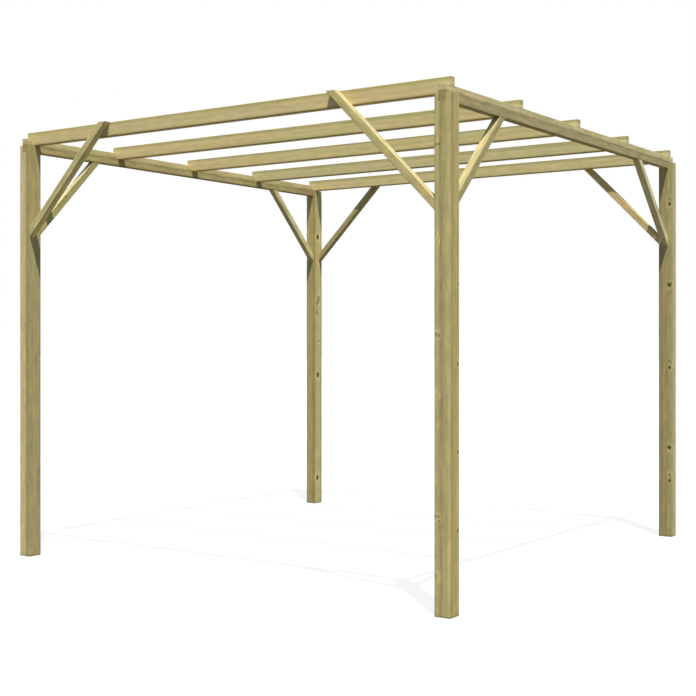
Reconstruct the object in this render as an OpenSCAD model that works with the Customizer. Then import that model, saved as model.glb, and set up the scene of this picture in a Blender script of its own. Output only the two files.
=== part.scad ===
// Garden pergola in planed, treated softwood. Square posts with slotted heads carry a
// beam along each side, rafters are lapped over the beams, and each post has a brace
// to the beam and a brace to the rafter beside it.
// X runs along the rafters, Y runs front to back along the beams, and Z is up.
// The origin is on the ground, midway between the posts.

/* [Posts] */
// Side of each square post
post_w = 88; // [70:1:140]
// Height of each post, up to the top of the cheeks beside its slot
post_h = 2518; // [2000:1:3200]
// Distance between post centres, left to right
span_x = 2958; // [2000:1:4500]
// Distance between post centres, front to back
span_y = 2958; // [2000:1:4500]

/* [Beams] */
// Thickness of each beam, and so the width of the slots in the post heads
beam_t = 42; // [30:1:60]
// Height of each beam, set on edge
beam_h = 82; // [60:1:110]
// Depth of the slot that seats the beam in each post head
seat_d = 41; // [20:1:60]

/* [Rafters] */
// Thickness of each rafter
rafter_t = 42; // [30:1:60]
// Height of each rafter, set on edge
rafter_h = 82; // [60:1:160]

/* [Braces] */
// Width of each brace, across its slope
brace_w = 42; // [30:1:60]
// Thickness of each brace
brace_t = 42; // [30:1:50]
// Drop from the underside of the beams to the lowest corner of the braces
brace_drop = 522; // [250:1:900]
// Slope of the braces above level, in degrees
brace_angle = 45; // [35:1:55]

/* [Edges] */
// Radius of the eased arrises along every timber
arris_r = 3; // [1:0.5:6]

/* [Hidden] */
// Corner names, with the side of the frame they stand on in X and in Y
CORNERS = [["front_left", -1, -1], ["front_right", 1, -1], ["back_left", -1, 1], ["back_right", 1, 1]];
// Beam names, with their side in X
SIDES = [["left", -1], ["right", 1]];
// Rafter names, in order from front to back
RAFTERS = ["front", "second", "middle", "fourth", "back"];

$fn = 32;
// Overrun of every cutting shape past the face it cuts
overrun = 5;

// The beams sit in the slots, end flush with the outer faces of the posts, and stand proud of
// the cheeks by the depth of the rafter lap
beam_z = post_h - seat_d;
beam_len = span_y + post_w;
lap_d = beam_h - seat_d;

// The rafters rest on the cheeks, end flush with the outer faces of the beams, and the
// outer two stand behind the braces that are flush with the posts
rafter_z = post_h;
rafter_top = rafter_z + rafter_h;
rafter_len = span_x + beam_t;
rafter_front_y = (rafter_t - span_y - post_w) / 2 + brace_t;
rafter_pitch = -2 * rafter_front_y / (len(RAFTERS) - 1);

// The side braces end under the beams, the cross braces level with the rafter tops
brace_foot_z = beam_z - brace_drop;

TIMBER = "#b5a76c";
SUNNY_TIMBER = "#c4b478";

// Cross-section of a planed timber with its four arrises eased
module section(w, t) {
    square([w - 2 * arris_r, t], center = true);
    square([w, t - 2 * arris_r], center = true);
    for (x = [-1, 1], y = [-1, 1])
        translate([x * (w / 2 - arris_r), y * (t / 2 - arris_r)])
            circle(arris_r);
}

// Timber that stands on the origin
module upright(w, t, length) {
    linear_extrude(length)
        section(w, t);
}

// Timber on edge along X, centred on the origin, with its underside at zero
module along_x(t, h, length) {
    translate([-length / 2, 0, h / 2])
        rotate([0, 90, 0])
            upright(h, t, length);
}

// Moves a piece drawn about the back right post to the post on the given sides
module at_corner(x_side, y_side) {
    mirror([x_side < 0 ? 1 : 0, 0, 0])
        mirror([0, y_side < 0 ? 1 : 0, 0])
            translate([span_x / 2, span_y / 2, 0])
                children();
}

// Post with the open slot in its head that seats the beam
module post() {
    color(TIMBER)
        difference() {
            upright(post_w, post_w, post_h);
            translate([-beam_t / 2, -post_w / 2 - overrun, beam_z])
                cube([beam_t, post_w + 2 * overrun, seat_d + overrun]);
        }
}

// Beam on edge along one side, through the heads of two posts
module beam(x_side) {
    color(SUNNY_TIMBER)
        translate([x_side * span_x / 2, 0, beam_z])
            rotate([0, 0, 90])
                along_x(beam_t, beam_h, beam_len);
}

// Rafter on edge, rebated at both ends to lap over the beams
module rafter(index) {
    color(SUNNY_TIMBER)
        translate([0, rafter_front_y + index * rafter_pitch, rafter_z])
            difference() {
                along_x(rafter_t, rafter_h, rafter_len);
                for (turn = [0, 180])
                    rotate([0, 0, turn])
                        translate([rafter_len / 2 - beam_t, -rafter_t / 2 - overrun, -overrun])
                            cube([beam_t + overrun, rafter_t + 2 * overrun, lap_d + overrun]);
            }
}

// Brace that rises along X from the post face at zero, centred in Y, with a plumb cut
// at its foot and a level cut at its head
module brace(head_z) {
    rise = head_z - brace_foot_z;
    run = rise / tan(brace_angle);
    slope_len = rise / sin(brace_angle);
    intersection() {
        translate([0, 0, brace_foot_z])
            rotate([0, 90 - brace_angle, 0])
                translate([-brace_w / 2, 0, -brace_w])
                    upright(brace_w, brace_t, slope_len + 2 * brace_w);
        translate([0, -brace_t, 0])
            cube([run + brace_w, 2 * brace_t, head_z]);
    }
}

// Brace along the rafters, flush with the outer face of the post and lapped on the rafter
module cross_brace() {
    color(SUNNY_TIMBER)
        translate([-post_w / 2, (post_w - brace_t) / 2, 0])
            mirror([1, 0, 0])
                brace(rafter_top);
}

// Brace along the beams, centred under the beam
module side_brace() {
    color(SUNNY_TIMBER)
        translate([0, -post_w / 2, 0])
            rotate([0, 0, -90])
                brace(beam_z);
}

for (corner = CORNERS) {
    at_corner(corner[1], corner[2]) post();
    at_corner(corner[1], corner[2]) cross_brace();
    at_corner(corner[1], corner[2]) side_brace();
}
for (side = SIDES)
    beam(side[1]);
for (index = [0:len(RAFTERS) - 1])
    rafter(index);
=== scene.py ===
# %% [markdown]
# # Dressing a timber pergola
# The frame of the pergola comes from its construction model: posts, beams, rafters and braces, each
# an object of its own, in metres. Those shapes are right, so this lesson keeps them. It gives every
# timber the finish of planed, pressure-treated softwood, adds the heads of the screws, and then sets
# up the floor, the light and the camera.

# %% Load the timbers
from collections import namedtuple
from math import cos, pi, radians, sin

import bpy
from mathutils import Euler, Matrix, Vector


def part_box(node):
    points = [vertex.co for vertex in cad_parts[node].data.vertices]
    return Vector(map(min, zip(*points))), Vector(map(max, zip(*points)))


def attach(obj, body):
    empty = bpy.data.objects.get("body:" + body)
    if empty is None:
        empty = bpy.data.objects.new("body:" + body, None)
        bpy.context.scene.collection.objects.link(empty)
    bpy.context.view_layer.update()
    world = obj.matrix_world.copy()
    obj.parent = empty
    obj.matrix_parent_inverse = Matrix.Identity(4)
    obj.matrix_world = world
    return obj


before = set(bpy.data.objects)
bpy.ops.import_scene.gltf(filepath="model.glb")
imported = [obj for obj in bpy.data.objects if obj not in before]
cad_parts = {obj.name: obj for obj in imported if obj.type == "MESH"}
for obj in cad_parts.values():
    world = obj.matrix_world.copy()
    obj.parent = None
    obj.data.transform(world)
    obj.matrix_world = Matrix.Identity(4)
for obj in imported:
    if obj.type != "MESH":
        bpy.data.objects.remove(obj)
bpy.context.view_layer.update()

bpy.ops.object.select_all(action="DESELECT")
print("timbers:", len(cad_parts))

# %% [markdown]
# ## Which way the grain runs
# Grain, knots and end grain all follow the way the tree grew, so a timber's material has to know it.
# One way is to unwrap every timber along its length. A simpler way, used here, is to give each timber
# a frame of its own: its middle, a turn that lays Z along the grain, its length, and half its width
# and depth. The sizes come from the timber's box. A brace slopes at 45 degrees, so its lower edge is
# a diagonal of its box, and its middle line lies half a thickness above that.

# %% Find each timber's own frame
QUARTER_TURN = pi / 2
SLOPE = pi / 4
UP = Vector((0, 0, 1))

Timber = namedtuple("Timber", "middle turn length half_w half_d")


def side_of(value):
    """Which side of the middle a value lies on: 1 or -1."""
    return 1 if value > 0 else -1


def brace_frame(middle, half, rise, lean, turn):
    """Frame of a brace, where lean is the level direction that its upper side faces."""
    upper_side = lean * sin(SLOPE) + UP * cos(SLOPE)
    return Timber(middle + half * upper_side, turn, rise / sin(SLOPE), half, half)


def timber_frame(name):
    """Frame of the timber with this name."""
    low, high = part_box(name)
    middle = (low + high) / 2
    size = high - low
    if name.startswith("post"):
        return Timber(middle, Euler((0, 0, 0)), size.z, size.x / 2, size.y / 2)
    if name.startswith("beam"):
        return Timber(middle, Euler((-QUARTER_TURN, 0, 0)), size.y, size.x / 2, size.z / 2)
    if name.startswith("rafter"):
        return Timber(middle, Euler((0, QUARTER_TURN, 0)), size.x, size.z / 2, size.y / 2)
    if name.startswith("cross_brace"):
        side = side_of(middle.x)
        turn = Euler((0, -side * SLOPE, 0))
        return brace_frame(middle, size.y / 2, size.z, Vector((side, 0, 0)), turn)
    side = side_of(middle.y)
    turn = Euler((side * SLOPE, 0, 0))
    return brace_frame(middle, size.x / 2, size.z, Vector((0, side, 0)), turn)


timbers = {name: timber_frame(name) for name in sorted(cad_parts)}
for name, timber in timbers.items():
    print(f"{name}: {timber.length:.3f} m long, {timber.half_w * 2:.3f} by {timber.half_d * 2:.3f} m")

# %% [markdown]
# ## Short words for shader nodes
# A procedural material is a chain of small nodes. Adding and linking them one by one takes many lines,
# so these helpers each add one node and hand back its output, and the recipes further down read like
# sums. feed fills a socket, either from a plain value or from the output of another node. What a node
# takes in is made before the node itself, because that keeps the finished shader small.

# %% Helpers for sums


def feed(tree, socket, value):
    """Link an output to a socket, or set the socket to a plain value."""
    if isinstance(value, bpy.types.NodeSocket):
        tree.links.new(value, socket)
    else:
        socket.default_value = value


def calc(tree, operation, *values):
    """One sum on numbers."""
    node = tree.nodes.new("ShaderNodeMath")
    node.operation = operation
    for socket, value in zip(node.inputs, values):
        feed(tree, socket, value)
    return node.outputs[0]


def calc_vector(tree, operation, *values):
    """One sum on vectors."""
    node = tree.nodes.new("ShaderNodeVectorMath")
    node.operation = operation
    for socket, value in zip(node.inputs, values):
        feed(tree, socket, value)
    gives_number = operation in ("LENGTH", "DOT_PRODUCT")
    return node.outputs["Value" if gives_number else "Vector"]


def scale(tree, vector, amount):
    """Scale a vector or a colour by a number."""
    node = tree.nodes.new("ShaderNodeVectorMath")
    node.operation = "SCALE"
    feed(tree, node.inputs[0], vector)
    feed(tree, node.inputs["Scale"], amount)
    return node.outputs["Vector"]


def ease(tree, value, start, end):
    """Rise smoothly from 0 at start to 1 at end."""
    node = tree.nodes.new("ShaderNodeMapRange")
    node.interpolation_type = "SMOOTHSTEP"
    for label, number in (("Value", value), ("From Min", start), ("From Max", end)):
        feed(tree, node.inputs[label], number)
    return node.outputs["Result"]


print("helpers for sums: feed, calc, calc_vector, scale, ease")

# %% [markdown]
# Nothing in wood is quite even, so most of the recipes start from noise. A noise that is stretched
# along the grain gives streaks, and an even one gives spots. Recipes that are used more than once
# become node groups.

# %% Helpers for noise and groups
NOISE_MIDDLE = 0.5

Noise = namedtuple("Noise", "stretch detail")


def cloud(tree, place, noise, start):
    """Soft noise about zero, where the stretch says how often it changes in a metre along each axis."""
    where = calc_vector(tree, "MULTIPLY_ADD", place, noise.stretch, start)
    node = tree.nodes.new("ShaderNodeTexNoise")
    feed(tree, node.inputs["Vector"], where)
    node.inputs["Scale"].default_value = 1.0
    node.inputs["Detail"].default_value = noise.detail
    return calc(tree, "SUBTRACT", node.outputs["Fac"], NOISE_MIDDLE)


def new_group(name, inputs, outputs):
    """An empty node group with these sockets."""
    tree = bpy.data.node_groups.new(name, "ShaderNodeTree")
    for way, sockets in (("INPUT", inputs), ("OUTPUT", outputs)):
        for label, kind in sockets:
            tree.interface.new_socket(label, in_out=way, socket_type="NodeSocket" + kind)
    given = tree.nodes.new("NodeGroupInput").outputs
    result = tree.nodes.new("NodeGroupOutput").inputs
    return tree, given, result


print("helpers for noise and groups: cloud, new_group")

# %% [markdown]
# ## Knots
# A knot is the foot of a branch: a cone that starts at the pith and widens outwards. It could be
# drawn as a spot on the face, but near a corner it then stops short at the arris. Here it is measured
# in the round instead, as the distance from the middle line of the branch, so that one knot shows on
# both faces of a corner. Branches lean upwards, so a knot is longer along the grain than across it,
# and a little noise makes its outline ragged.

# %% The branch that makes a knot
BRANCH_DEPTH = 0.09
BRANCH_LEAN = (1, 1, 0.8)
RAGGED = Noise((90, 90, 50), 1.0)
RAGGED_START = (2, 4, 8)
RAGGED_SHARE = 0.9
SMALLEST_RADIUS = 0.0001


def branch_group():
    """Distance from the middle of a branch, in radii of the branch."""
    tree, given, result = new_group(
        "branch",
        [("Place", "Vector"), ("Spot", "Vector"), ("Way", "Vector"), ("Radius", "Float")],
        [("Distance", "Float")],
    )
    away = calc_vector(tree, "SUBTRACT", given["Place"], given["Spot"])
    along = calc_vector(tree, "DOT_PRODUCT", away, given["Way"])
    straight = scale(tree, given["Way"], along)
    sideways = calc_vector(tree, "SUBTRACT", away, straight)
    across = calc_vector(tree, "LENGTH", calc_vector(tree, "MULTIPLY", sideways, BRANCH_LEAN))
    taper = ease(tree, along, -BRANCH_DEPTH, 0)
    width = calc(tree, "MAXIMUM", calc(tree, "MULTIPLY", given["Radius"], taper), SMALLEST_RADIUS)
    ragged = cloud(tree, given["Place"], RAGGED, RAGGED_START)
    distance = calc(tree, "DIVIDE", across, width)
    feed(tree, result["Distance"], calc(tree, "MULTIPLY_ADD", ragged, RAGGED_SHARE, distance))
    return tree


branch = branch_group()
print("branch:", len(branch.nodes), "nodes")

# %% [markdown]
# ## Growth rings
# Softwood shows its growth rings on every face: as lines along the timber, and as arcs on the sawn
# ends. They are made here as circles about the pith, so the lines and the arcs belong together. Pale
# early wood darkens slowly into a late wood line, and then the next ring starts. The pith wanders a
# little along the tree, and the rings swell round the knots.

# %% The growth rings
ACROSS_GRAIN = (1, 1, 0)
RING_WIDTH = 0.0046
RING_VARIETY = 1.6
YEARS = Noise((70, 0, 0), 1.0)
LATE_RISE = (0.2, 0.9)
LATE_FALL = (1.0, 0.92)
PITH_WANDER = 0.008
PITH_SWAY_X = Noise((0, 0, 0.45), 1.0)
PITH_SWAY_Y = Noise((0, 0, 0.6), 1.0)
SWAY_STEP = (5, 9, 2)
KNOT_SWIRL = 0.006
SWIRL_FADE = -0.3


def ring_radius(tree, place, pith, start, knot):
    """Distance from a pith that wanders a little, pushed outwards round the knots."""
    sway_x = calc(tree, "MULTIPLY", cloud(tree, place, PITH_SWAY_X, start), PITH_WANDER)
    next_start = calc_vector(tree, "ADD", start, SWAY_STEP)
    sway_y = calc(tree, "MULTIPLY", cloud(tree, place, PITH_SWAY_Y, next_start), PITH_WANDER)
    sway = tree.nodes.new("ShaderNodeCombineXYZ")
    feed(tree, sway.inputs["X"], sway_x)
    feed(tree, sway.inputs["Y"], sway_y)
    offset = calc_vector(tree, "ADD", calc_vector(tree, "SUBTRACT", place, pith), sway.outputs[0])
    radius = calc_vector(tree, "LENGTH", calc_vector(tree, "MULTIPLY", offset, ACROSS_GRAIN))
    fade = calc(tree, "MULTIPLY", calc(tree, "MULTIPLY", knot, knot), SWIRL_FADE)
    return calc(tree, "MULTIPLY_ADD", calc(tree, "EXPONENT", fade), KNOT_SWIRL, radius)


def late_wood(tree, radius, start):
    """How far a point is into the dark part of its ring, from 0 to 1, and how good the years were."""
    line = tree.nodes.new("ShaderNodeCombineXYZ")
    feed(tree, line.inputs["X"], radius)
    years = cloud(tree, line.outputs[0], YEARS, start)
    count = calc(tree, "DIVIDE", radius, RING_WIDTH)
    count = calc(tree, "MULTIPLY_ADD", years, RING_VARIETY, count)
    phase = calc(tree, "FRACT", count)
    late = calc(tree, "MULTIPLY", ease(tree, phase, *LATE_RISE), ease(tree, phase, *LATE_FALL))
    return late, years


print("growth rings:", RING_WIDTH, "m wide")

# %% [markdown]
# ## Treated softwood
# Pressure treatment leaves planed softwood a greenish tan. Over the rings lie broad straight bands,
# patches that took more or less of the treatment, fine fibres, thin resin streaks and a few drying
# cracks. All this could be painted on a picture, but then it would not follow the knots and the ends.
# So it is noise in three dimensions, stretched along the grain. A drying crack is a line where a
# noise passes through zero, kept only where a second, broader noise is high.

# %% Patterns along the grain
BANDS = Noise((28, 28, 0.16), 1.0)
FINE_STREAKS = Noise((95, 95, 0.5), 1.0)
PATCHES = Noise((12, 12, 1.5), 2.0)
FIGURE = Noise((46, 46, 10), 2.0)
FLECKS = Noise((110, 110, 22), 1.0)
FIBRES = Noise((420, 420, 7), 2.0)
RESIN = Noise((170, 170, 6), 0.0)
RESIN_RANGE = (0.22, 0.30)
CRACK_LINES = Noise((34, 34, 1.6), 1.0)
CRACK_EDGE = (0.007, 0.001)
CRACK_PLACES = Noise((11, 11, 3.2), 0.0)
CRACK_PLACE_RANGE = (0.18, 0.24)


def drying_cracks(tree, place, start, sawn):
    """1 in the thin drying cracks of a face, and 0 beside them and on the sawn ends."""
    line = calc(tree, "ABSOLUTE", cloud(tree, place, CRACK_LINES, start))
    here = ease(tree, cloud(tree, place, CRACK_PLACES, start), *CRACK_PLACE_RANGE)
    crack = calc(tree, "MULTIPLY", ease(tree, line, *CRACK_EDGE), here)
    return calc(tree, "MULTIPLY", crack, calc(tree, "SUBTRACT", 1.0, sawn))


print("fibres:", FIBRES.stretch[0], "to a metre across the grain")

# %% [markdown]
# The heartwood near the pith takes up less of the treatment and stays darker, most of all in its
# outermost rings. How light the wood is at a point is the sum of the patterns, each with its own
# strength.

# %% Heartwood and lightness
HEART_WAVER = 0.01
HEART_RIM = 0.03
INNER_HEART_SHARE = 0.85
BAND_LIGHT = 0.75
STREAK_LIGHT = 0.45
FIGURE_LIGHT = 0.80
FLECK_LIGHT = 0.20
FIBRE_LIGHT = 0.35


def heartwood_share(tree, radius, bands, heart_radius, softness):
    """How much of the wood at a point is heartwood."""
    depth = calc(tree, "SUBTRACT", heart_radius, radius)
    shore = calc(tree, "MULTIPLY", softness, -1)
    heart = ease(tree, calc(tree, "MULTIPLY_ADD", bands, HEART_WAVER, depth), shore, softness)
    rim = ease(tree, depth, HEART_RIM, 0)
    outer_rings = calc(tree, "MULTIPLY_ADD", rim, 1 - INNER_HEART_SHARE, INNER_HEART_SHARE)
    return calc(tree, "MULTIPLY", heart, outer_rings)


def lightness(tree, bands, streaks, figure, flecks, fibres, contrast):
    """How light the wood is at a point, about 1."""
    light = calc(tree, "MULTIPLY", bands, BAND_LIGHT)
    for pattern, amount in ((streaks, STREAK_LIGHT), (figure, FIGURE_LIGHT), (flecks, FLECK_LIGHT)):
        light = calc(tree, "MULTIPLY_ADD", pattern, amount, light)
    light = calc(tree, "MULTIPLY_ADD", light, contrast, 1.0)
    return calc(tree, "MULTIPLY_ADD", fibres, FIBRE_LIGHT, light)


print("heartwood is darkest in its outer", HEART_RIM, "m")

# %% [markdown]
# Colours are mixed or multiplied. Multiplying works as a thin glaze does over paint: the pattern
# below still shows through, which a plain mix would hide.

# %% Helpers for colours


def blend(tree, amount, first, second, mode="MIX"):
    """Blend two colours."""
    node = tree.nodes.new("ShaderNodeMix")
    node.data_type = "RGBA"
    node.blend_type = mode
    feed(tree, node.inputs["Factor"], amount)
    feed(tree, node.inputs["A"], first)
    feed(tree, node.inputs["B"], second)
    return node.outputs["Result"]


def tint(tree, amount, colour, by):
    """Multiply a colour by another, as strongly as the amount says."""
    return blend(tree, amount, colour, by, "MULTIPLY")


print("helpers for colours: blend, tint")

# %% [markdown]
# Sawn ends show the rings most, and their heartwood is browner. A knot has a dark rim, a heart with
# rings of its own, and pale flecks round it where the grain turns out of the face. Some of the face
# wood shows through it, so that no knot is one flat spot.

# %% Sawn ends and knots
LATE_TINT = (0.80, 0.72, 0.58, 1)
SAWN_HEART_TINT = (0.91, 0.91, 0.74, 1)
END_RING_SHARE = 0.6
END_YEAR_SHARE = 0.7
HALO_TINT = (1.28, 1.25, 1.24, 1)
HALO_REACH = (3.6, 1.3)
HALO_FLECKS = (-0.05, 0.12)
KNOT_HEART = (0.110, 0.080, 0.022)
KNOT_RIM = (0.068, 0.050, 0.013, 1)
KNOT_RIM_EDGE = (0.8, 0.5)
KNOT_RING_TURNS = 24.0
KNOT_RING_SHARE = 0.2
MOTTLE_FLECKS = (0.15, -0.10)
MOTTLE_SHARE = 0.4


def add_sawn_ends(tree, wood, given, heart, late, years):
    """Tint the wood where it was sawn across the grain."""
    sawn = given["Sawn"]
    wood = tint(tree, sawn, wood, given["Sawn tint"])
    wood = tint(tree, calc(tree, "MULTIPLY", sawn, heart), wood, SAWN_HEART_TINT)
    end_rings = calc(tree, "MULTIPLY", sawn, calc(tree, "MULTIPLY", late, END_RING_SHARE))
    wood = tint(tree, end_rings, wood, LATE_TINT)
    end_years = calc(tree, "MULTIPLY", sawn, calc(tree, "MULTIPLY", years, END_YEAR_SHARE))
    return scale(tree, wood, calc(tree, "ADD", end_years, 1.0))


def add_knots(tree, wood, knot, dark, flecks):
    """Lay the pale flecks and the dark knots over the wood."""
    halo = calc(tree, "MULTIPLY", ease(tree, knot, *HALO_REACH), ease(tree, flecks, *HALO_FLECKS))
    wood = tint(tree, halo, wood, HALO_TINT)
    wave = calc(tree, "SINE", calc(tree, "MULTIPLY", knot, KNOT_RING_TURNS))
    knot_rings = calc(tree, "MULTIPLY_ADD", wave, KNOT_RING_SHARE, 1.0)
    knot_heart = scale(tree, KNOT_HEART, knot_rings)
    knot_wood = blend(tree, ease(tree, knot, *KNOT_RIM_EDGE), KNOT_RIM, knot_heart)
    mottle = ease(tree, flecks, *MOTTLE_FLECKS)
    mottle = calc(tree, "MULTIPLY_ADD", mottle, MOTTLE_SHARE, 1 - MOTTLE_SHARE)
    return blend(tree, calc(tree, "MULTIPLY", dark, mottle), wood, knot_wood)


print("a knot's pale flecks reach", HALO_REACH[0], "radii")

# %% [markdown]
# All of it comes together in one node group, which every timber's material uses with its own values.
# Faces that look up are darkened: a painted shade that takes some of the sun's light off them. The
# fibres and the late wood also set how rough the surface is and, together with the cracks and the
# knots, how high it stands.

# %% The treated softwood group
SEED_STEP = (17.3, 29.1, 11.7)
LATE_SHARE = 0.28
PATCH_FIGURE_SHARE = 0.6
WARM_TINT = (1.04, 0.99, 0.96, 1)
WARM_RANGE = (0.02, 0.22)
GREEN_TINT = (0.95, 1.02, 0.94, 1)
GREEN_RANGE = (-0.02, -0.22)
RESIN_TINT = (0.78, 0.68, 0.52, 1)
RESIN_SHARE = 0.6
# Painted shade: faces that look up are darkened by this tint.
TOP_SHADE_TINT = (0.68, 0.72, 0.82, 1)
CRACK_TINT = (0.35, 0.31, 0.26, 1)
WOOD_ROUGHNESS = 0.86
FIBRE_ROUGHNESS = 0.30
LATE_ROUGHNESS = -0.08
FIBRE_HEIGHT = 0.9
LATE_HEIGHT = 0.35
CRACK_HEIGHT = -1.2
KNOT_HEIGHT = -0.3


def softwood_group():
    """Colour, roughness and height of treated softwood."""
    tree, given, result = new_group(
        "treated_softwood",
        [
            ("Place", "Vector"), ("Seed", "Float"), ("Contrast", "Float"), ("Pith", "Vector"),
            ("Heart", "Float"), ("Softness", "Float"), ("Sapwood", "Color"), ("Heartwood", "Color"),
            ("Knot", "Float"), ("Dark", "Float"), ("Sawn", "Float"), ("Sawn tint", "Color"),
            ("Painted top shade", "Float"), ("Arris", "Float"),
        ],
        [("Colour", "Color"), ("Roughness", "Float"), ("Height", "Float")],
    )
    place, knot, dark = given["Place"], given["Knot"], given["Dark"]
    start = calc_vector(tree, "MULTIPLY", SEED_STEP, given["Seed"])
    radius = ring_radius(tree, place, given["Pith"], start, knot)
    late, years = late_wood(tree, radius, start)
    bands = cloud(tree, place, BANDS, start)
    streaks = cloud(tree, place, FINE_STREAKS, start)
    patches = cloud(tree, place, PATCHES, start)
    figure = cloud(tree, place, FIGURE, start)
    flecks = cloud(tree, place, FLECKS, start)
    fibres = cloud(tree, place, FIBRES, start)
    resin = ease(tree, cloud(tree, place, RESIN, start), *RESIN_RANGE)
    crack = drying_cracks(tree, place, start, given["Sawn"])

    heart = heartwood_share(tree, radius, bands, given["Heart"], given["Softness"])
    light = lightness(tree, bands, streaks, figure, flecks, fibres, given["Contrast"])
    wood = scale(tree, blend(tree, heart, given["Sapwood"], given["Heartwood"]), light)
    wood = tint(tree, calc(tree, "MULTIPLY", late, LATE_SHARE), wood, LATE_TINT)
    patches = calc(tree, "MULTIPLY_ADD", figure, PATCH_FIGURE_SHARE, patches)
    wood = tint(tree, ease(tree, patches, *WARM_RANGE), wood, WARM_TINT)
    wood = tint(tree, ease(tree, patches, *GREEN_RANGE), wood, GREEN_TINT)
    wood = tint(tree, calc(tree, "MULTIPLY", resin, RESIN_SHARE), wood, RESIN_TINT)
    # Painted shade on the faces that look up.
    wood = tint(tree, given["Painted top shade"], wood, TOP_SHADE_TINT)
    wood = add_sawn_ends(tree, wood, given, heart, late, years)
    wood = scale(tree, wood, calc(tree, "ADD", given["Arris"], 1.0))
    wood = add_knots(tree, wood, knot, dark, flecks)
    feed(tree, result["Colour"], tint(tree, crack, wood, CRACK_TINT))

    rough = calc(tree, "MULTIPLY_ADD", fibres, FIBRE_ROUGHNESS, WOOD_ROUGHNESS)
    feed(tree, result["Roughness"], calc(tree, "MULTIPLY_ADD", late, LATE_ROUGHNESS, rough))
    height = calc(tree, "MULTIPLY_ADD", fibres, FIBRE_HEIGHT, calc(tree, "MULTIPLY", late, LATE_HEIGHT))
    height = calc(tree, "MULTIPLY_ADD", crack, CRACK_HEIGHT, height)
    feed(tree, result["Height"], calc(tree, "MULTIPLY_ADD", dark, KNOT_HEIGHT, height))
    return tree


softwood = softwood_group()
print("treated softwood:", len(softwood.nodes), "nodes")

# %% [markdown]
# ## Where each timber grew
# No two timbers come from the same place in a tree. Each row here gives the colours of a timber's
# sapwood and heartwood, the place of the pith beside the middle of its section, the radius of the
# heartwood and how softly it ends. The braces have a small heart, all of one size. The beams were cut
# with the pith below them, so their lower part is heartwood and darker. The back posts were cut with
# it in front of them, so the heartwood is at their front face. The colours could be chosen by eye. Here
# they were fitted by a separate program to the mean tone of each real timber. Each timber's place in
# the list is the seed of its noise.

# %% Colours, piths and seeds
SMALL_HEART = 0.020
SMALL_HEART_SOFTNESS = 0.006

Growth = namedtuple(
    "Growth",
    "sapwood heartwood pith heart softness",
    defaults=(SMALL_HEART, SMALL_HEART_SOFTNESS),
)
GROWTHS = {
    "post_front_left": Growth((0.60, 0.51, 0.24), (0.38, 0.32, 0.13), (0.060, -0.010), 0.060, 0.004),
    "post_front_right": Growth((0.48, 0.41, 0.17), (0.37, 0.30, 0.13), (-0.005, -0.060), 0.019, 0.006),
    "post_back_left": Growth((0.51, 0.46, 0.20), (0.40, 0.32, 0.13), (0.000, -0.500), 0.461, 0.006),
    "post_back_right": Growth((0.52, 0.47, 0.25), (0.30, 0.24, 0.08), (0.000, -0.300), 0.272, 0.045),
    "beam_left": Growth((0.59, 0.48, 0.23), (0.37, 0.30, 0.13), (0.004, 0.160), 0.170, 0.003),
    "beam_right": Growth((0.56, 0.48, 0.24), (0.33, 0.28, 0.13), (-0.004, 0.160), 0.170, 0.003),
    "rafter_front": Growth((0.63, 0.51, 0.24), (0.51, 0.44, 0.17), (-0.160, 0.020), 0.141, 0.008),
    "rafter_second": Growth((0.66, 0.54, 0.25), (0.48, 0.42, 0.18), (-0.160, -0.010), 0.141, 0.008),
    "rafter_middle": Growth((0.64, 0.53, 0.24), (0.43, 0.38, 0.18), (-0.160, 0.030), 0.141, 0.008),
    "rafter_fourth": Growth((0.56, 0.48, 0.23), (0.45, 0.39, 0.18), (-0.160, -0.030), 0.141, 0.008),
    "rafter_back": Growth((0.64, 0.54, 0.25), (0.45, 0.39, 0.17), (-0.160, 0.010), 0.141, 0.008),
    "cross_brace_front_left": Growth((0.61, 0.51, 0.24), (0.49, 0.41, 0.18), (0.050, 0.020)),
    "cross_brace_front_right": Growth((0.59, 0.49, 0.21), (0.48, 0.40, 0.17), (-0.030, 0.050)),
    "cross_brace_back_left": Growth((0.42, 0.34, 0.16), (0.34, 0.27, 0.13), (0.020, -0.060)),
    "cross_brace_back_right": Growth((0.57, 0.45, 0.20), (0.48, 0.37, 0.15), (-0.060, -0.010)),
    "side_brace_front_left": Growth((0.39, 0.34, 0.14), (0.33, 0.27, 0.10), (0.040, 0.040)),
    "side_brace_front_right": Growth((0.46, 0.37, 0.17), (0.37, 0.30, 0.14), (-0.050, 0.030)),
    "side_brace_back_left": Growth((0.70, 0.61, 0.31), (0.57, 0.50, 0.22), (0.010, 0.070)),
    "side_brace_back_right": Growth((0.64, 0.58, 0.33), (0.53, 0.47, 0.25), (0.060, -0.030)),
}
SEEDS = {name: number for number, name in enumerate(GROWTHS, 1)}
print("growths:", len(GROWTHS))

# %% [markdown]
# Most of these knots can be made out on the real pergola. Branches grow in rings round the trunk, so
# the faces that look away have knots at much the same heights. Each row says where a knot comes to
# the surface, as shares of half the width and half the depth, how far it is from the foot of the
# timber, its radius, and how dark it is: from 1 up it is a dead, dark knot, lower down it is a smudge,
# and at 0 only the pale flecks round it are left.

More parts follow.
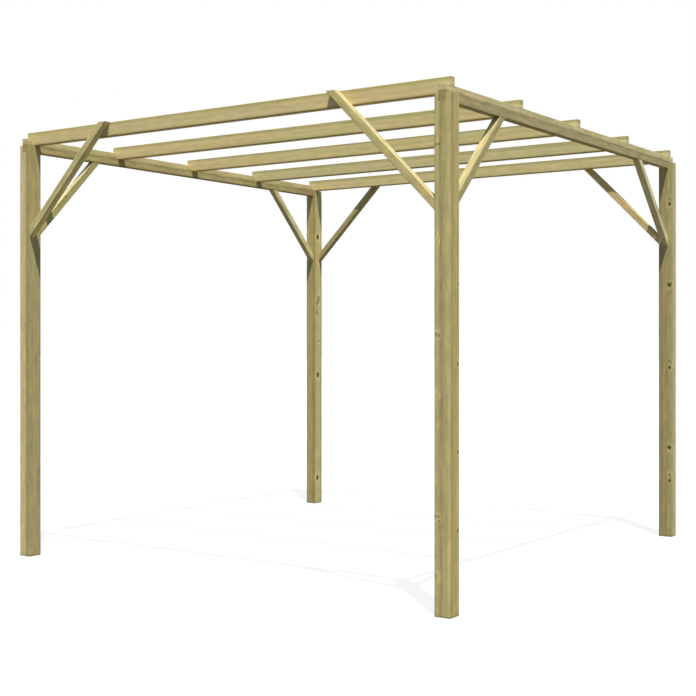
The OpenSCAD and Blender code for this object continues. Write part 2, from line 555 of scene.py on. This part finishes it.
# %% Where the knots are
KNOTS = {
    "post_front_right": [
        (-0.80, -1, 2.270, 0.007, 0.6), (-0.42, -1, 2.270, 0.007, 0.6), (-0.78, -1, 1.839, 0.005, 0.4),
        (-0.64, -1, 1.807, 0.009, 0.0), (-0.80, -1, 1.358, 0.008, 0.6), (-0.42, -1, 1.352, 0.008, 0.7),
        (-0.80, -1, 0.482, 0.008, 0.6), (-0.44, -1, 0.485, 0.006, 0.9), (-0.33, -1, 0.462, 0.005, 0.8),
        (-0.62, -1, 0.197, 0.008, 0.25), (1, 0.72, 1.602, 0.008, 0.9), (1, 0.72, 1.216, 0.009, 1.0),
        (1, 0.72, 0.792, 0.009, 1.0), (1, 0.72, 0.412, 0.009, 1.0), (-0.60, -1, 1.063, 0.009, 0.0),
        (-0.60, -1, 0.932, 0.008, 0.0), (-0.62, -1, 0.183, 0.010, 0.0), (-1, 0.22, 1.822, 0.011, 0.7),
        (-1, 0.38, 1.338, 0.013, 0.9), (-1, 0.14, 0.462, 0.012, 0.8), (-0.12, 1, 1.590, 0.011, 0.8),
        (-0.40, 1, 0.800, 0.012, 0.9), (-0.20, 1, 0.425, 0.010, 0.7),
    ],
    "post_back_right": [
        (0.72, -1, 2.268, 0.009, 0.6), (0.70, -1, 2.235, 0.010, 1.3), (0.70, -1, 1.694, 0.013, 1.6),
        (0.72, -1, 1.177, 0.009, 0.6), (0.72, -1, 1.138, 0.009, 1.4), (0.70, -1, 0.600, 0.012, 1.6),
        (0.72, -1, 0.418, 0.009, 0.9), (0.72, -1, 0.378, 0.009, 1.4), (-1, 0.30, 1.702, 0.014, 0.9),
        (-1, 0.16, 0.592, 0.013, 0.9), (-0.30, 1, 2.240, 0.011, 0.7), (-0.10, 1, 1.150, 0.013, 0.8),
        (-0.44, 1, 0.390, 0.011, 0.8),
    ],
    "post_back_left": [
        (1, -0.28, 2.146, 0.016, 1.5), (1, -0.04, 1.652, 0.017, 0.6), (1, -0.36, 1.618, 0.016, 0.7),
        (1, -0.36, 1.534, 0.014, 0.7), (1, -0.26, 1.036, 0.016, 1.5), (1, 0.11, 1.312, 0.009, 0.8),
        (1, -0.38, 0.208, 0.016, 1.5), (-1, 0.26, 2.135, 0.015, 0.9), (-1, 0.42, 1.550, 0.012, 0.7),
        (-1, 0.18, 0.220, 0.014, 0.9), (-0.24, 1, 1.640, 0.013, 0.8), (-0.38, 1, 1.028, 0.015, 0.9),
    ],
    "post_front_left": [
        (-1, 0.34, 1.720, 0.012, 0.8), (-1, 0.16, 0.540, 0.012, 0.7), (-0.26, 1, 1.105, 0.013, 0.8),
    ],
    "side_brace_front_left": [(1, -0.66, 0.357, 0.007, 1.0), (1, -0.38, 0.601, 0.006, 1.0)],
}
print("knots:", {name: len(rows) for name, rows in KNOTS.items()})

# %% [markdown]
# Some timbers also have streaks of paler or darker growth that run their whole length. A row says
# where a streak comes to the surface, in the same shares, how far it reaches and how it tints the wood.
# A few rows are painted light and shade instead: a painted highlight beside one arris of a post, and
# tints that cover whole faces of the braces.
# Rain hangs on the lower arrises of the rafters, so those are darker on every rafter.

# %% Where the streaks are
# Painted shade: the lower arrises of the rafters, and the lower inner arris of the left beam, are
# darkened by this tint.
LOWER_EDGE_SHADE_REACH = 0.014
LOWER_EDGE_SHADE_TINT = (0.62, 0.61, 0.57)
LOWER_EDGE_SHADE_EDGES = {"rafter": [(1, -1), (1, 1)]}
STREAKS_AND_PAINTED_LIGHT = {
    "post_front_right": [
        # The first streak, pale and on the front face beside the right arris, is a painted highlight.
        (0.86, -1, 0.013, (1.30, 1.30, 1.44)), (1, -0.55, 0.027, (0.79, 0.75, 0.70)),
        (1, 0.15, 0.040, (1.00, 0.97, 0.92)),
    ],
    "post_back_right": [
        (-0.66, -1, 0.025, (0.78, 0.76, 0.78)), (0.80, -1, 0.032, (1.02, 1.11, 1.09)),
        (-0.10, -1, 0.020, (1.03, 0.97, 1.00)), (1, -0.36, 0.050, (0.89, 0.89, 0.84)),
    ],
    "post_back_left": [
        (0.58, -1, 0.024, (0.84, 0.83, 0.72)), (-0.25, -1, 0.036, (1.03, 1.06, 1.10)),
        (1, 0.66, 0.014, (0.82, 0.79, 0.79)),
    ],
    "post_front_left": [(0.70, -1, 0.020, (0.95, 0.94, 0.90))],
    # Painted shade along the lower inner arris of this beam.
    "beam_left": [(1, 1, LOWER_EDGE_SHADE_REACH, LOWER_EDGE_SHADE_TINT)],
    # These five tints each cover one whole face and are painted light and shade: painted light on the
    # lower face of the front left cross brace and on the upper faces of the two front side braces, a
    # painted shade that cools the sunlit upper face of the front right cross brace, and painted shade
    # on the lower face of the back left side brace.
    "cross_brace_front_left": [(1, 0, 0.024, (1.42, 1.40, 1.50))],
    "cross_brace_front_right": [(1, 0, 0.024, (0.94, 0.97, 1.08))],
    "side_brace_front_right": [(0, -1, 0.026, (1.00, 1.11, 0.99))],
    "side_brace_front_left": [(0, -1, 0.026, (1.32, 1.38, 1.70))],
    "side_brace_back_left": [(0, -1, 0.026, (0.78, 0.81, 0.87))],
}
print("streaks:", {name: len(rows) for name, rows in STREAKS_AND_PAINTED_LIGHT.items()})

# %% [markdown]
# The knots and streaks of one timber are laid into its material by two helpers. Each knot is a copy of
# the branch group, and what counts is the nearest branch and the darkest knot at a point. Each streak
# is a tint that fades with the distance from its line.

# %% Lay in knots and streaks
NO_KNOT = 100.0
KNOT_EDGE = (1.2, 0.75)


def nearest_knot(tree, place, name):
    """Distance to the nearest knot of a timber, in radii of that knot, and how dark it is here."""
    timber = timbers[name]
    nearest = NO_KNOT
    dark = 0.0
    for across, deep, from_foot, radius, darkness in KNOTS.get(name, []):
        spot = Vector((across * timber.half_w, deep * timber.half_d, from_foot - timber.length / 2))
        # Only a whole share is left by int, and it names the face that the branch comes out of
        way = Vector((int(across), int(deep), 0))
        node = tree.nodes.new("ShaderNodeGroup")
        node.node_tree = branch
        for label, value in (("Place", place), ("Spot", spot), ("Way", way), ("Radius", radius)):
            feed(tree, node.inputs[label], value)
        distance = node.outputs["Distance"]
        nearest = calc(tree, "MINIMUM", distance, nearest)
        shade = calc(tree, "MULTIPLY", ease(tree, distance, *KNOT_EDGE), darkness)
        dark = calc(tree, "MAXIMUM", shade, dark)
    return nearest, dark


def add_streaks_and_painted_light(tree, place, name, kind, colour):
    """Tint a colour by the streaks of a timber, some of them painted light and shade, and by the
    painted shade on a rafter's lower arrises.
    """
    timber = timbers[name]
    # Painted shade along the lower arrises of the rafters.
    lower_edge_shades = [(*edge, LOWER_EDGE_SHADE_REACH, LOWER_EDGE_SHADE_TINT) for edge in LOWER_EDGE_SHADE_EDGES.get(kind, [])]
    for across, deep, reach, streak_tint in STREAKS_AND_PAINTED_LIGHT.get(name, []) + lower_edge_shades:
        spot = Vector((across * timber.half_w, deep * timber.half_d, 0))
        away = calc_vector(tree, "SUBTRACT", place, spot)
        away = calc_vector(tree, "MULTIPLY", away, ACROSS_GRAIN)
        amount = ease(tree, calc_vector(tree, "LENGTH", away), reach, 0)
        colour = tint(tree, amount, colour, (*streak_tint, 1))
    return colour


print("knots fade out at", KNOT_EDGE[0], "radii")

# %% [markdown]
# ## One material per timber
# Each timber gets a material of its own from the same group. A Mapping node carries the point from
# the shared frame into the timber's frame. The sawn ends and the tops, which get a painted shade, are
# found from the way a face points, and the eased arrises from the distance to the corner of the
# section. The arrises of the posts, beams and rafters are made a little darker.

# %% Fill in the softwood group
CONTRASTS = {"post": 0.7, "beam": 1.0, "rafter": 0.42, "cross": 1.0, "side": 1.1}
ARRIS_WIDTH = 0.012
# The long arrises of the posts, beams and rafters are made a little darker; those of the braces are
# left as they are.
ARRIS_LIGHT = {"post": -0.10, "beam": -0.15, "rafter": -0.15, "cross": 0.0, "side": 0.0}
SAWN_RANGE = (0.5, 0.85)
SAWN_TINT = (1.09, 1.06, 1.11)
SAWN_TINTS = {"rafter": (1.03, 1.07, 1.32)}
TOP_SHADE_RANGE = (0.2, 1.0)


def grain_way(timber):
    """The direction of a timber's grain."""
    way = UP.copy()
    way.rotate(timber.turn)
    return way


def own_place(tree, timber, point):
    """A point of the shared frame, carried into the timber's own frame."""
    mapping = tree.nodes.new("ShaderNodeMapping")
    mapping.vector_type = "TEXTURE"
    mapping.inputs["Location"].default_value = timber.middle
    mapping.inputs["Rotation"].default_value = timber.turn
    feed(tree, mapping.inputs["Vector"], point)
    return mapping.outputs["Vector"]


def near_arris(tree, timber, from_middle):
    """Rise from 0 to 1 towards the long arrises of a timber."""
    near_w = ease(tree, from_middle["X"], timber.half_w - ARRIS_WIDTH, timber.half_w)
    near_d = ease(tree, from_middle["Y"], timber.half_d - ARRIS_WIDTH, timber.half_d)
    return calc(tree, "MULTIPLY", near_w, near_d)


def grown_wood(tree, name, kind, place, normal, from_middle):
    """The treated softwood group with the values of one timber."""
    timber, growth = timbers[name], GROWTHS[name]
    along_grain = calc(tree, "ABSOLUTE", calc_vector(tree, "DOT_PRODUCT", normal, grain_way(timber)))
    upwards = calc_vector(tree, "DOT_PRODUCT", normal, UP)
    arris = near_arris(tree, timber, from_middle)
    knot, dark = nearest_knot(tree, place, name)
    values = {
        "Place": place,
        "Seed": SEEDS[name],
        "Contrast": CONTRASTS[kind],
        "Pith": (*growth.pith, 0),
        "Heart": growth.heart,
        "Softness": growth.softness,
        "Sapwood": (*growth.sapwood, 1),
        "Heartwood": (*growth.heartwood, 1),
        "Knot": knot,
        "Dark": dark,
        "Sawn": ease(tree, along_grain, *SAWN_RANGE),
        "Sawn tint": (*SAWN_TINTS.get(kind, SAWN_TINT), 1),
        # Painted shade: how far a face looks up.
        "Painted top shade": ease(tree, upwards, *TOP_SHADE_RANGE),
        "Arris": calc(tree, "MULTIPLY", arris, ARRIS_LIGHT[kind]),
    }
    wood = tree.nodes.new("ShaderNodeGroup")
    wood.node_tree = softwood
    for label, value in values.items():
        feed(tree, wood.inputs[label], value)
    return wood.outputs


print("arrises:", ARRIS_WIDTH, "m wide")

# %% [markdown]
# Each timber is a shade darker near its ends, and the posts are darker still in their lowest 14 mm.
# Planed wood has little gloss, and its fibres stand only a fraction of a millimetre high, so a weak
# bump is enough for them.

# %% Make the materials
# Each timber is darker within this reach of its ends.
END_DARKENING_REACH = 0.050
END_DARKENING_TINT = (0.97, 0.99, 0.97, 1)
# The posts are darker within this height of their feet.
FOOT_DARKENING_HEIGHT = 0.014
FOOT_DARKENING_TINT = (0.60, 0.62, 0.60, 1)
BUMP_STRENGTH = 0.6
BUMP_DEPTH = 0.0005
WOOD_GLOSS = 0.1


def split_up(tree, vector):
    """The three numbers of a vector."""
    node = tree.nodes.new("ShaderNodeSeparateXYZ")
    feed(tree, node.inputs[0], vector)
    return node.outputs


def timber_material(name):
    """Treated softwood for one timber, with its grain along the timber."""
    timber = timbers[name]
    kind = name.split("_")[0]
    material = bpy.data.materials.new("treated_" + name)
    material.use_nodes = True
    tree = material.node_tree
    source = tree.nodes.new("ShaderNodeTexCoord").outputs
    place = own_place(tree, timber, source["Object"])
    from_middle = split_up(tree, calc_vector(tree, "ABSOLUTE", place))
    wood = grown_wood(tree, name, kind, place, source["Normal"], from_middle)

    from_end = calc(tree, "SUBTRACT", timber.length / 2, from_middle["Z"])
    colour = add_streaks_and_painted_light(tree, place, name, kind, wood["Colour"])
    colour = tint(tree, ease(tree, from_end, END_DARKENING_REACH, 0), colour, END_DARKENING_TINT)
    if kind == "post":
        height = split_up(tree, source["Object"])["Z"]
        colour = tint(tree, ease(tree, height, FOOT_DARKENING_HEIGHT, 0), colour, FOOT_DARKENING_TINT)

    bump = tree.nodes.new("ShaderNodeBump")
    bump.inputs["Strength"].default_value = BUMP_STRENGTH
    bump.inputs["Distance"].default_value = BUMP_DEPTH
    feed(tree, bump.inputs["Height"], wood["Height"])
    shader = tree.nodes["Principled BSDF"]
    shader.inputs["Specular IOR Level"].default_value = WOOD_GLOSS
    feed(tree, shader.inputs["Base Color"], colour)
    feed(tree, shader.inputs["Roughness"], wood["Roughness"])
    feed(tree, shader.inputs["Normal"], bump.outputs["Normal"])
    return material


for name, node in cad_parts.items():
    node.data.materials.clear()
    node.data.materials.append(timber_material(name))
print("timber materials:", len(timbers))

# %% [markdown]
# ## One screw head
# Screws hold the laps and the braces. Only their heads can be seen, so only the heads are modelled: a
# short cylinder with a softened rim and a six-lobed recess. Booleans would cut the recess too, but
# insetting the top face, drawing every fourth corner inwards and extruding it down keeps the mesh
# small. It is made once, at the origin, with the surface of the timber at zero. The parts of the mesh
# to work on are picked by where they are, because their numbers change with every step.

# %% Helpers for picking parts of a mesh
HEAD_RADIUS = 0.0045
HEAD_PROUD = 0.0008
RECESS_RADIUS = 0.0024
LOBES = 6
HALFWAY = 0.5
LOBE_MARGIN = 0.1
FACING_UP = 0.5
NEAR_ENOUGH = 0.00005


def pick(kind, test):
    """Select the vertices or faces of the open mesh that pass a test."""
    bpy.ops.mesh.select_mode(type=kind)
    bpy.ops.mesh.select_all(action="DESELECT")
    bpy.ops.object.mode_set(mode="OBJECT")
    mesh = bpy.context.object.data
    for item in mesh.vertices if kind == "VERT" else mesh.polygons:
        item.select = test(item)
    bpy.ops.object.mode_set(mode="EDIT")


def on_top(vertex):
    """True for the corners at the top of the head."""
    return vertex.co.z > HEAD_PROUD - NEAR_ENOUGH


def on_rim(vertex):
    """True for the corners round the top of the head."""
    return on_top(vertex) and vertex.co.xy.length > HEAD_RADIUS - NEAR_ENOUGH


def between_lobes(vertex):
    """True for the corners of the inset top face that lie between two lobes."""
    if not on_top(vertex) or vertex.co.xy.length > RECESS_RADIUS + NEAR_ENOUGH:
        return False
    lobe_turns = Vector((1, 0)).angle_signed(vertex.co.xy) / (2 * pi / LOBES)
    return abs(lobe_turns % 1 - HALFWAY) < LOBE_MARGIN


def facing_up(face):
    """True for the faces that look up."""
    return face.normal.z > FACING_UP


def recess_floor(face):
    """True for the inset face in the middle of the top."""
    return facing_up(face) and face.center.xy.length < NEAR_ENOUGH


print("screw head:", HEAD_RADIUS * 2, "m across")

# %% [markdown]
# The head starts as a cylinder, most of it sunk in the wood. Its top is inset to the size of the
# recess, the corners between the lobes are drawn in, the floor of the recess goes down, and last
# the rim is softened.

# %% Model one screw head
HEAD_SUNK = 0.0030
HEAD_SIDES = 24
RIM_SOFTENING = 0.0003
RIM_STEPS = 2
RECESS_DEPTH = 0.0020
LOBE_PINCH = 0.72
SMOOTH_ANGLE = radians(35)

bpy.ops.mesh.primitive_cylinder_add(
    vertices=HEAD_SIDES,
    radius=HEAD_RADIUS,
    depth=HEAD_PROUD + HEAD_SUNK,
    location=(0, 0, (HEAD_PROUD - HEAD_SUNK) / 2),
)
head = bpy.context.object
head.name = "screw_head"
bpy.ops.object.transform_apply(location=True, rotation=False, scale=False)
bpy.ops.object.mode_set(mode="EDIT")
pick("FACE", facing_up)
bpy.ops.mesh.inset(thickness=HEAD_RADIUS - RECESS_RADIUS)
pick("VERT", between_lobes)
print("corners between lobes:", sum(vertex.select for vertex in head.data.vertices))
bpy.ops.transform.resize(value=(LOBE_PINCH, LOBE_PINCH, 1))
pick("FACE", recess_floor)
bpy.ops.mesh.extrude_region_move(TRANSFORM_OT_translate={"value": (0, 0, -RECESS_DEPTH)})
pick("VERT", on_rim)
bpy.ops.mesh.bevel(offset=RIM_SOFTENING, segments=RIM_STEPS, affect="EDGES")
bpy.ops.object.mode_set(mode="OBJECT")
bpy.ops.object.shade_smooth_by_angle(angle=SMOOTH_ANGLE)
print("screw head:", len(head.data.polygons), "faces")

# %% [markdown]
# ## Screw steel
# Outdoor screws have a dull, yellowish coat that wears through to brighter metal. One colour would
# look like plastic, so fine noise mixes the two, and the worn places are rougher.

# %% Make the screw steel
STEEL_DULL = (0.36, 0.30, 0.15, 1)
STEEL_WORN = (0.50, 0.45, 0.30, 1)
STEEL_METALLIC = 0.4
STEEL_ROUGHNESS = 0.45
WEAR_ROUGHNESS = 0.3
WEAR = Noise((900, 900, 900), 3.0)
WEAR_START = (3, 5, 7)
WEAR_RANGE = (-0.1, 0.2)


def screw_steel_material():
    """Coated steel with fine wear."""
    material = bpy.data.materials.new("coated_screw_steel")
    material.use_nodes = True
    tree = material.node_tree
    place = tree.nodes.new("ShaderNodeTexCoord").outputs["Object"]
    wear = cloud(tree, place, WEAR, WEAR_START)
    shader = tree.nodes["Principled BSDF"]
    shader.inputs["Metallic"].default_value = STEEL_METALLIC
    colour = blend(tree, ease(tree, wear, *WEAR_RANGE), STEEL_DULL, STEEL_WORN)
    feed(tree, shader.inputs["Base Color"], colour)
    rough = calc(tree, "MULTIPLY_ADD", wear, WEAR_ROUGHNESS, STEEL_ROUGHNESS)
    feed(tree, shader.inputs["Roughness"], rough)
    return material


screw_steel = screw_steel_material()
print("material:", screw_steel.name)

# %% [markdown]
# ## Where the screws go
# One screw goes down through each rafter end into the beam. A side brace has a screw in its lower
# face at each end, and a cross brace has one at its foot. Its head is held by two screws that come
# through the rafter from the inside. All these places follow from the frames of the timbers, so the
# screws stay on them if a size changes.

# %% Find the places of the screws
SCREW_FROM_END = 0.060
SCREW_SPREAD = 0.020


def rafter_spots(rafter):
    """A screw down through each end of a rafter, over the middle of a beam."""
    top = rafter.middle.z + rafter.half_w
    beam_places = [timbers[name].middle.x for name in ("beam_left", "beam_right")]
    return [(Vector((x, rafter.middle.y, top)), UP) for x in beam_places]


def on_side(timber, way_out, distance):
    """A point on the side of a timber that looks this way, so far along the grain from its middle."""
    return timber.middle + way_out * timber.half_w + grain_way(timber) * distance


def head_spots(brace, rafter):
    """Two screws through a rafter from the inside, into the head of a cross brace."""
    inwards = Vector((0, -side_of(rafter.middle.y), 0))
    inner_face = rafter.middle.y + inwards.y * rafter.half_d
    spots = []
    for step in (-SCREW_SPREAD / 2, SCREW_SPREAD / 2):
        height = rafter.middle.z + step
        x = brace.middle.x - side_of(brace.middle.x) * (height - brace.middle.z)
        spots.append((Vector((x, inner_face, height)), inwards))
    return spots


def brace_spots(name, brace):
    """The screws of one brace."""
    is_cross = name.startswith("cross")
    lean = Vector((0, side_of(brace.middle.y), 0))
    if is_cross:
        lean = Vector((side_of(brace.middle.x), 0, 0))
    lower_side = -(lean * sin(SLOPE) + UP * cos(SLOPE))
    reach = brace.length / 2 - SCREW_FROM_END
    at_foot = (on_side(brace, lower_side, -reach), lower_side)
    if is_cross:
        rafter = timbers["rafter_front" if "front" in name else "rafter_back"]
        return [at_foot, *head_spots(brace, rafter)]
    return [at_foot, (on_side(brace, lower_side, reach), lower_side)]


spots_on_rafters = []
spots_on_braces = []
for name, timber in timbers.items():
    if name.startswith("rafter"):
        spots_on_rafters += rafter_spots(timber)
    if "brace" in name:
        spots_on_braces += brace_spots(name, timber)
print("screws:", len(spots_on_rafters), "on the rafters,", len(spots_on_braces), "on the braces")

# %% [markdown]
# The heads are copies of the first one, turned to face out of the timber, and joined into one piece
# for the rafters and one for the braces. Their places are then applied, so that each piece sits at the
# origin as the timbers do.

# %% Set the screws


def set_screws(name, spots):
    """Copy the screw head to each spot, facing the way given, and join the copies."""
    copies = []
    for spot, facing in spots:
        bpy.ops.object.select_all(action="DESELECT")
        head.select_set(True)
        bpy.context.view_layer.objects.active = head
        bpy.ops.object.duplicate()
        copy = bpy.context.object
        copy.location = spot
        copy.rotation_euler = facing.to_track_quat("Z", "Y").to_euler()
        copies.append(copy)
    for copy in copies:
        copy.select_set(True)
    bpy.ops.object.join()
    bpy.ops.object.transform_apply(location=True, rotation=True, scale=True)
    piece = bpy.context.object
    piece.name = name
    piece.data.materials.clear()
    piece.data.materials.append(screw_steel)
    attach(piece, "root")
    print(name + ":", len(spots), "heads")


set_screws("rafter_screws", spots_on_rafters)
set_screws("brace_screws", spots_on_braces)
bpy.ops.object.select_all(action="DESELECT")
head.select_set(True)
bpy.ops.object.delete()

# %% [markdown]
# ## Floor
# The pergola stands on a plain white floor. To the camera the floor and the sky behind it are white,
# and a light shadow is left on the floor. To the timber the floor is a dull surface, so that the
# undersides of the rafters stay dark, as they do over grass. A white floor that is lit as brightly as
# this would light them from below, so the two are told apart by the kind of ray.

# %% Floor
FLOOR_SIZE = 120.0
SHADOW_SHARE = 0.14
FLOOR_TO_CAMERA = (0.8, 0.8, 0.8, 1)
FLOOR_TO_TIMBER = (0.092, 0.084, 0.052, 1)
WHITE = (1, 1, 1, 1)


def seen_directly(tree):
    """1 for what the camera sees, straight or in a reflection, and 0 for light on its way to things."""
    path = tree.nodes.new("ShaderNodeLightPath").outputs
    seen = calc(tree, "MAXIMUM", path["Is Camera Ray"], path["Is Glossy Ray"])
    return calc(tree, "MAXIMUM", seen, path["Is Transmission Ray"])


def mix_shaders(tree, amount, first, second):
    """Blend two shaders."""
    node = tree.nodes.new("ShaderNodeMixShader")
    feed(tree, node.inputs[0], amount)
    tree.links.new(first.outputs[0], node.inputs[1])
    tree.links.new(second.outputs[0], node.inputs[2])
    return node


def floor_material():
    """White to the camera with a faint shadow, dull to the timber."""
    material = bpy.data.materials.new("white_floor")
    material.use_nodes = True
    tree = material.node_tree
    tree.nodes.remove(tree.nodes["Principled BSDF"])
    dull = tree.nodes.new("ShaderNodeBsdfDiffuse")
    dull.inputs["Color"].default_value = FLOOR_TO_TIMBER
    pale = tree.nodes.new("ShaderNodeBsdfDiffuse")
    pale.inputs["Color"].default_value = FLOOR_TO_CAMERA
    glow = tree.nodes.new("ShaderNodeEmission")
    glow.inputs["Color"].default_value = WHITE
    shown = mix_shaders(tree, SHADOW_SHARE, glow, pale)
    both = mix_shaders(tree, seen_directly(tree), dull, shown)
    tree.links.new(both.outputs[0], tree.nodes["Material Output"].inputs["Surface"])
    return material


bpy.ops.mesh.primitive_plane_add(size=FLOOR_SIZE, location=(0, 0, 0))
floor = bpy.context.object
floor.name = "floor"
floor.data.materials.append(floor_material())
print("floor:", FLOOR_SIZE, "m across")

# %% [markdown]
# ## Light
# A cool sky fills the shadows, a little brighter at the horizon than overhead. An even sky would be
# simpler, but then upright faces in the shade come out too dark beside the ones that look up. As with
# the floor, the camera sees plain white there.

# %% Sky
SKY_STRENGTH = 0.42
SKY_COLOUR = (0.62, 0.91, 1.42, 1)
HORIZON_SHARE = 1.3
ZENITH_SHARE = 0.7

world = bpy.data.worlds.new("pale_sky")
bpy.context.scene.world = world
world.use_nodes = True
sky_tree = world.node_tree
fill = sky_tree.nodes["Background"]
fill.inputs["Color"].default_value = SKY_COLOUR
height = split_up(sky_tree, sky_tree.nodes.new("ShaderNodeTexCoord").outputs["Generated"])["Z"]
share = calc(sky_tree, "MULTIPLY_ADD", height, ZENITH_SHARE - HORIZON_SHARE, HORIZON_SHARE)
feed(sky_tree, fill.inputs["Strength"], calc(sky_tree, "MULTIPLY", share, SKY_STRENGTH))
backdrop = sky_tree.nodes.new("ShaderNodeBackground")
backdrop.inputs["Color"].default_value = WHITE
shown = mix_shaders(sky_tree, seen_directly(sky_tree), fill, backdrop)
sky_tree.links.new(shown.outputs[0], sky_tree.nodes["World Output"].inputs["Surface"])
print("sky:", len(sky_tree.nodes), "nodes")

# %% [markdown]
# A high sun from the front right throws the crisp shadows of the braces on the posts. A broad soft
# lamp at the back left lights the two sides that the sun leaves in shade. Both shine from far away,
# so that every timber gets the same light.

# %% Sun and lamp
SUN_STRENGTH = 7.0
SUN_COLOUR = (1.06, 1.0, 0.95)
SUN_ANGLE = radians(1.2)
TO_SUN = Vector((0.255, -0.245, 1.0))
LAMP_STRENGTH = 2.0
LAMP_COLOUR = (1.05, 1.0, 0.93)
LAMP_ANGLE = radians(50)
TO_LAMP = Vector((-0.7, 0.7, 0.3))
LIGHT_DISTANCE = 10.0


def add_light(name, towards, strength, colour, angle):
    """A far light of this angle, shining from the direction given."""
    turn = towards.to_track_quat("Z", "Y").to_euler()
    bpy.ops.object.light_add(type="SUN", location=towards * LIGHT_DISTANCE, rotation=turn)
    light = bpy.context.object
    light.name = name
    light.data.energy = strength
    light.data.color = colour
    light.data.angle = angle
    print(name, "from", [round(value, 2) for value in towards.normalized()])


add_light("sun", TO_SUN, SUN_STRENGTH, SUN_COLOUR, SUN_ANGLE)
add_light("back_lamp", TO_LAMP, LAMP_STRENGTH, LAMP_COLOUR, LAMP_ANGLE)

# %% [markdown]
# ## Camera
# The camera stands level, at chest height, out beyond the front right post. A level camera keeps the
# posts upright in the picture, so the frame is shifted down a little and the camera isn't tilted.

# %% Camera
CAMERA_PLACE = (4.5176, -6.7066, 1.3513)
CAMERA_TURN = radians(34.68)
LENS = 64.74
SHIFT_UP = -0.0177

bpy.ops.object.camera_add(location=CAMERA_PLACE, rotation=(QUARTER_TURN, 0, CAMERA_TURN))
camera = bpy.context.object
camera.name = "camera"
camera.data.lens = LENS
camera.data.shift_y = SHIFT_UP
bpy.context.scene.camera = camera
bpy.context.scene.view_settings.view_transform = "Standard"
print("camera at", CAMERA_PLACE)
